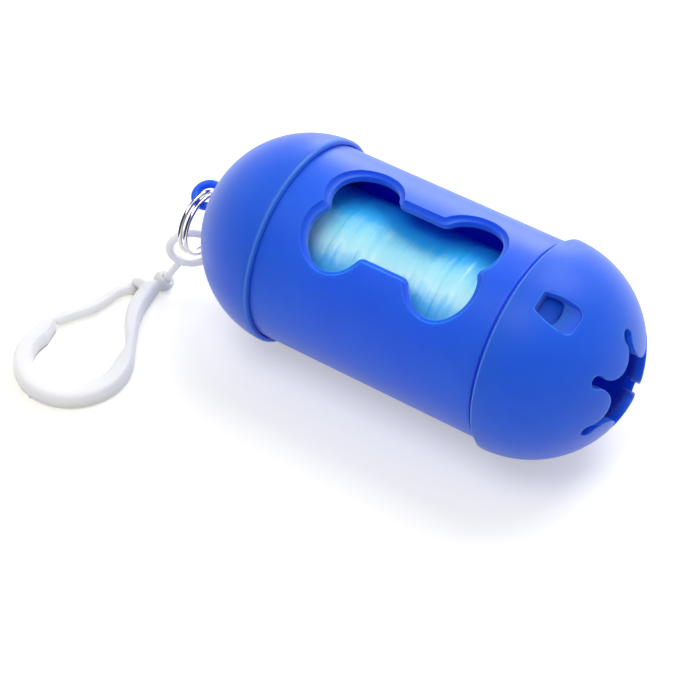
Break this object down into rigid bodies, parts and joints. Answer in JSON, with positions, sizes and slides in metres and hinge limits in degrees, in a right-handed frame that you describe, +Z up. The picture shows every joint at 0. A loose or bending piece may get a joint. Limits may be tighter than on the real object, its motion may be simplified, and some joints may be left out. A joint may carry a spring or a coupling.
{
  "type": "pet waste bag dispenser",
  "caption": "Round-ended capsule that holds a roll of pet waste bags, with a bone-shaped window, a star-shaped outlet, a split ring and a swivel hook.",
  "frame": {"origin": "on the floor under the middle of the barrel", "axes": "+X along the capsule toward the slotted cap, +Z up from the floor; the window is turned 18 degrees from +Z toward -Y, as the object lies in the picture"},
  "size_m": [0.1063, 0.0659, 0.04],
  "materials": {
    "blue_plastic": "satin",
    "bag_film": "satin",
    "core_card": "matte",
    "ring_steel": "polished",
    "white_plastic": "satin"
  },
  "bodies": {
    "barrel": {"barrel": "blue_plastic"},
    "slotted_cap": {"slotted_cap": "blue_plastic"},
    "ring_cap": {"ring_cap": "blue_plastic"},
    "roll": {"bag_roll": "bag_film", "roll_core": "core_card"},
    "split_ring": {"split_ring": "ring_steel"},
    "swivel_eye": {"swivel_eye": "white_plastic"},
    "hook": {"hook_frame": "white_plastic"},
    "gate": {"hook_gate": "white_plastic"}
  },
  "joints": [
    {"name": "slotted_cap_pull", "type": "slide", "parent": "barrel", "child": "slotted_cap", "axis": [1, 0, 0], "range_m": [0, 0.014]},
    {"name": "ring_cap_pull", "type": "slide", "parent": "barrel", "child": "ring_cap", "axis": [-1, 0, 0], "range_m": [0, 0.014]},
    {"name": "roll_spin", "type": "hinge", "parent": "barrel", "child": "roll", "pos_m": [0, 0, 0.01807], "axis": [1, 0, 0], "continuous": true},
    {"name": "ring_swing", "type": "hinge", "parent": "ring_cap", "child": "split_ring", "pos_m": [-0.0468, -0.00238, 0.01923], "axis": [1, 0, 0], "range_deg": [-45, 1]},
    {"name": "eye_swing", "type": "hinge", "parent": "split_ring", "child": "swivel_eye", "pos_m": [-0.0468, -0.00464, 0.00922], "axis": [0, 0.9178, -0.3972], "range_deg": [-25, 20]},
    {"name": "hook_swivel", "type": "hinge", "parent": "swivel_eye", "child": "hook", "pos_m": [-0.052, -0.0085, 0.00205], "axis": [0.4682, 0.33, 0.8197], "continuous": true},
    {"name": "gate_open", "type": "hinge", "parent": "hook", "child": "gate", "pos_m": [-0.05503, -0.01255, 0.0018], "axis": [0, 0, 1], "range_deg": [0, 24], "stiffness_Nm_per_rad": 0.02}
  ]
}
